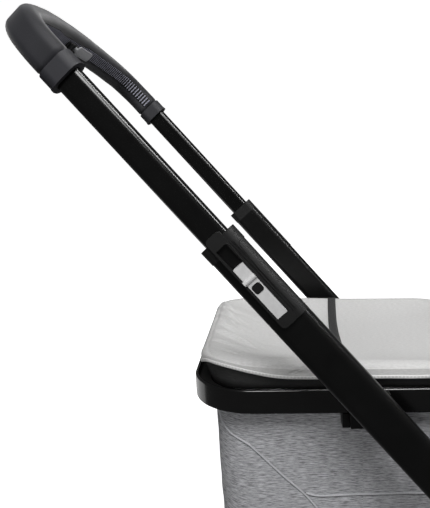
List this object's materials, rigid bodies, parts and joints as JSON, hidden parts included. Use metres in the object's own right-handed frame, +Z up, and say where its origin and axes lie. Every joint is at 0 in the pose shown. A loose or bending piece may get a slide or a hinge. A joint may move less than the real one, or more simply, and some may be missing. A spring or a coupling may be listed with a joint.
{
  "type": "handlebar basket",
  "caption": "Soft-sided fabric basket with a fabric cover and a black rim, hung between two side tubes with a telescoping push handle.",
  "frame": {"origin": "middle of the base, on the plane that the feet stand on", "axes": "+Z up, +X from the handle's end to the far end of the basket, +Y from the near side tube to the far one"},
  "size_m": [0.61, 0.512, 0.7146],
  "materials": {
    "rim_black": "gloss",
    "trim_black": "matte",
    "tub_fabric": "woven melange",
    "stiffener_sheet": "matte",
    "lining_fabric": "woven",
    "piping_fabric": "woven",
    "board_sheet": "matte",
    "pad_foam": "soft",
    "foot_rubber": "matte",
    "screw_steel": "satin",
    "bracket_plastic": "fine texture",
    "stud_metal": "polished",
    "cover_fabric": "woven",
    "skirt_fabric": "woven",
    "strap_webbing": "ribbed webbing",
    "snap_metal": "polished",
    "tube_black": "satin",
    "disc_black": "satin",
    "pin_steel": "satin",
    "eye_plastic": "satin",
    "housing_grey": "satin",
    "bush_plastic": "satin",
    "arm_black": "satin",
    "grip_leather": "soft grain",
    "seam_thread": "ribbed",
    "collar_rubber": "matte",
    "zip_black": "satin",
    "pull_leather": "soft grain",
    "slider_silver": "satin",
    "clamp_rubber": "matte",
    "spring_steel": "satin",
    "button_black": "matte"
  },
  "bodies": {
    "basket": {"rim_frame": "rim_black", "rim_trim": "trim_black", "fabric_tub": "tub_fabric", "fabric_base": "tub_fabric", "tub_stiffener": "stiffener_sheet", "tub_lining": "lining_fabric", "tub_piping": "piping_fabric", "base_board": "board_sheet", "base_pad": "pad_foam", "base_feet": "foot_rubber", "foot_screws": "screw_steel", "near_hub_bracket": "bracket_plastic", "far_hub_bracket": "bracket_plastic", "bracket_screws": "screw_steel", "strap_studs": "stud_metal"},
    "cover": {"cover": "cover_fabric", "cover_skirt": "skirt_fabric", "hold_down_strap": "strap_webbing", "strap_snaps": "snap_metal"},
    "frame": {"near_side_tube": "tube_black", "far_side_tube": "tube_black", "near_hub_disc": "disc_black", "far_hub_disc": "disc_black", "near_pivot_pin": "pin_steel", "far_pivot_pin": "pin_steel", "near_end_eye": "eye_plastic", "far_end_eye": "eye_plastic", "near_lock_housing": "housing_grey", "far_lock_housing": "housing_grey", "near_guide_bush": "bush_plastic", "far_guide_bush": "bush_plastic"},
    "handle": {"handle_tube": "arm_black", "handle_end_bushes": "bush_plastic", "grip_cover": "grip_leather", "grip_seam": "seam_thread", "near_grip_collar": "collar_rubber", "far_grip_collar": "collar_rubber", "zip_slider": "zip_black"},
    "zip_pull": {"zip_pull": "pull_leather"},
    "near_lock": {"near_lock_slider": "slider_silver", "near_clamp_pad": "clamp_rubber", "near_button_spring": "spring_steel"},
    "far_lock": {"far_lock_slider": "slider_silver", "far_clamp_pad": "clamp_rubber", "far_button_spring": "spring_steel"},
    "near_button": {"near_lock_button": "button_black"},
    "far_button": {"far_lock_button": "button_black"}
  },
  "joints": [
    {"name": "frame_fold", "type": "hinge", "parent": "basket", "child": "frame", "pos_m": [0.01259, 0, 0.225], "axis": [0, 1, 0], "range_deg": [0, 80]},
    {"name": "handle_slide", "type": "slide", "parent": "frame", "child": "handle", "axis": [-0.6428, 0, 0.766], "range_m": [-0.2, 0.02]},
    {"name": "cover_lift", "type": "slide", "parent": "basket", "child": "cover", "axis": [0, 0, 1], "range_m": [0, 0.2]},
    {"name": "near_lock_slide", "type": "slide", "parent": "frame", "child": "near_lock", "axis": [-0.6428, 0, 0.766], "range_m": [0, 0.014]},
    {"name": "far_lock_slide", "type": "slide", "parent": "frame", "child": "far_lock", "axis": [-0.6428, 0, 0.766], "range_m": [0, 0.014]},
    {"name": "near_button_press", "type": "slide", "parent": "near_lock", "child": "near_button", "axis": [0, 1, 0], "range_m": [0, 0.0012], "stiffness_N_per_m": 800, "springref_m": -0.001},
    {"name": "far_button_press", "type": "slide", "parent": "far_lock", "child": "far_button", "axis": [0, -1, 0], "range_m": [0, 0.0012], "stiffness_N_per_m": 800, "springref_m": -0.001},
    {"name": "zip_pull_swing", "type": "hinge", "parent": "handle", "child": "zip_pull", "pos_m": [-0.3693, -0.0025, 0.68012], "axis": [-0.766, 0, -0.6428], "range_deg": [0, 150]}
  ]
}
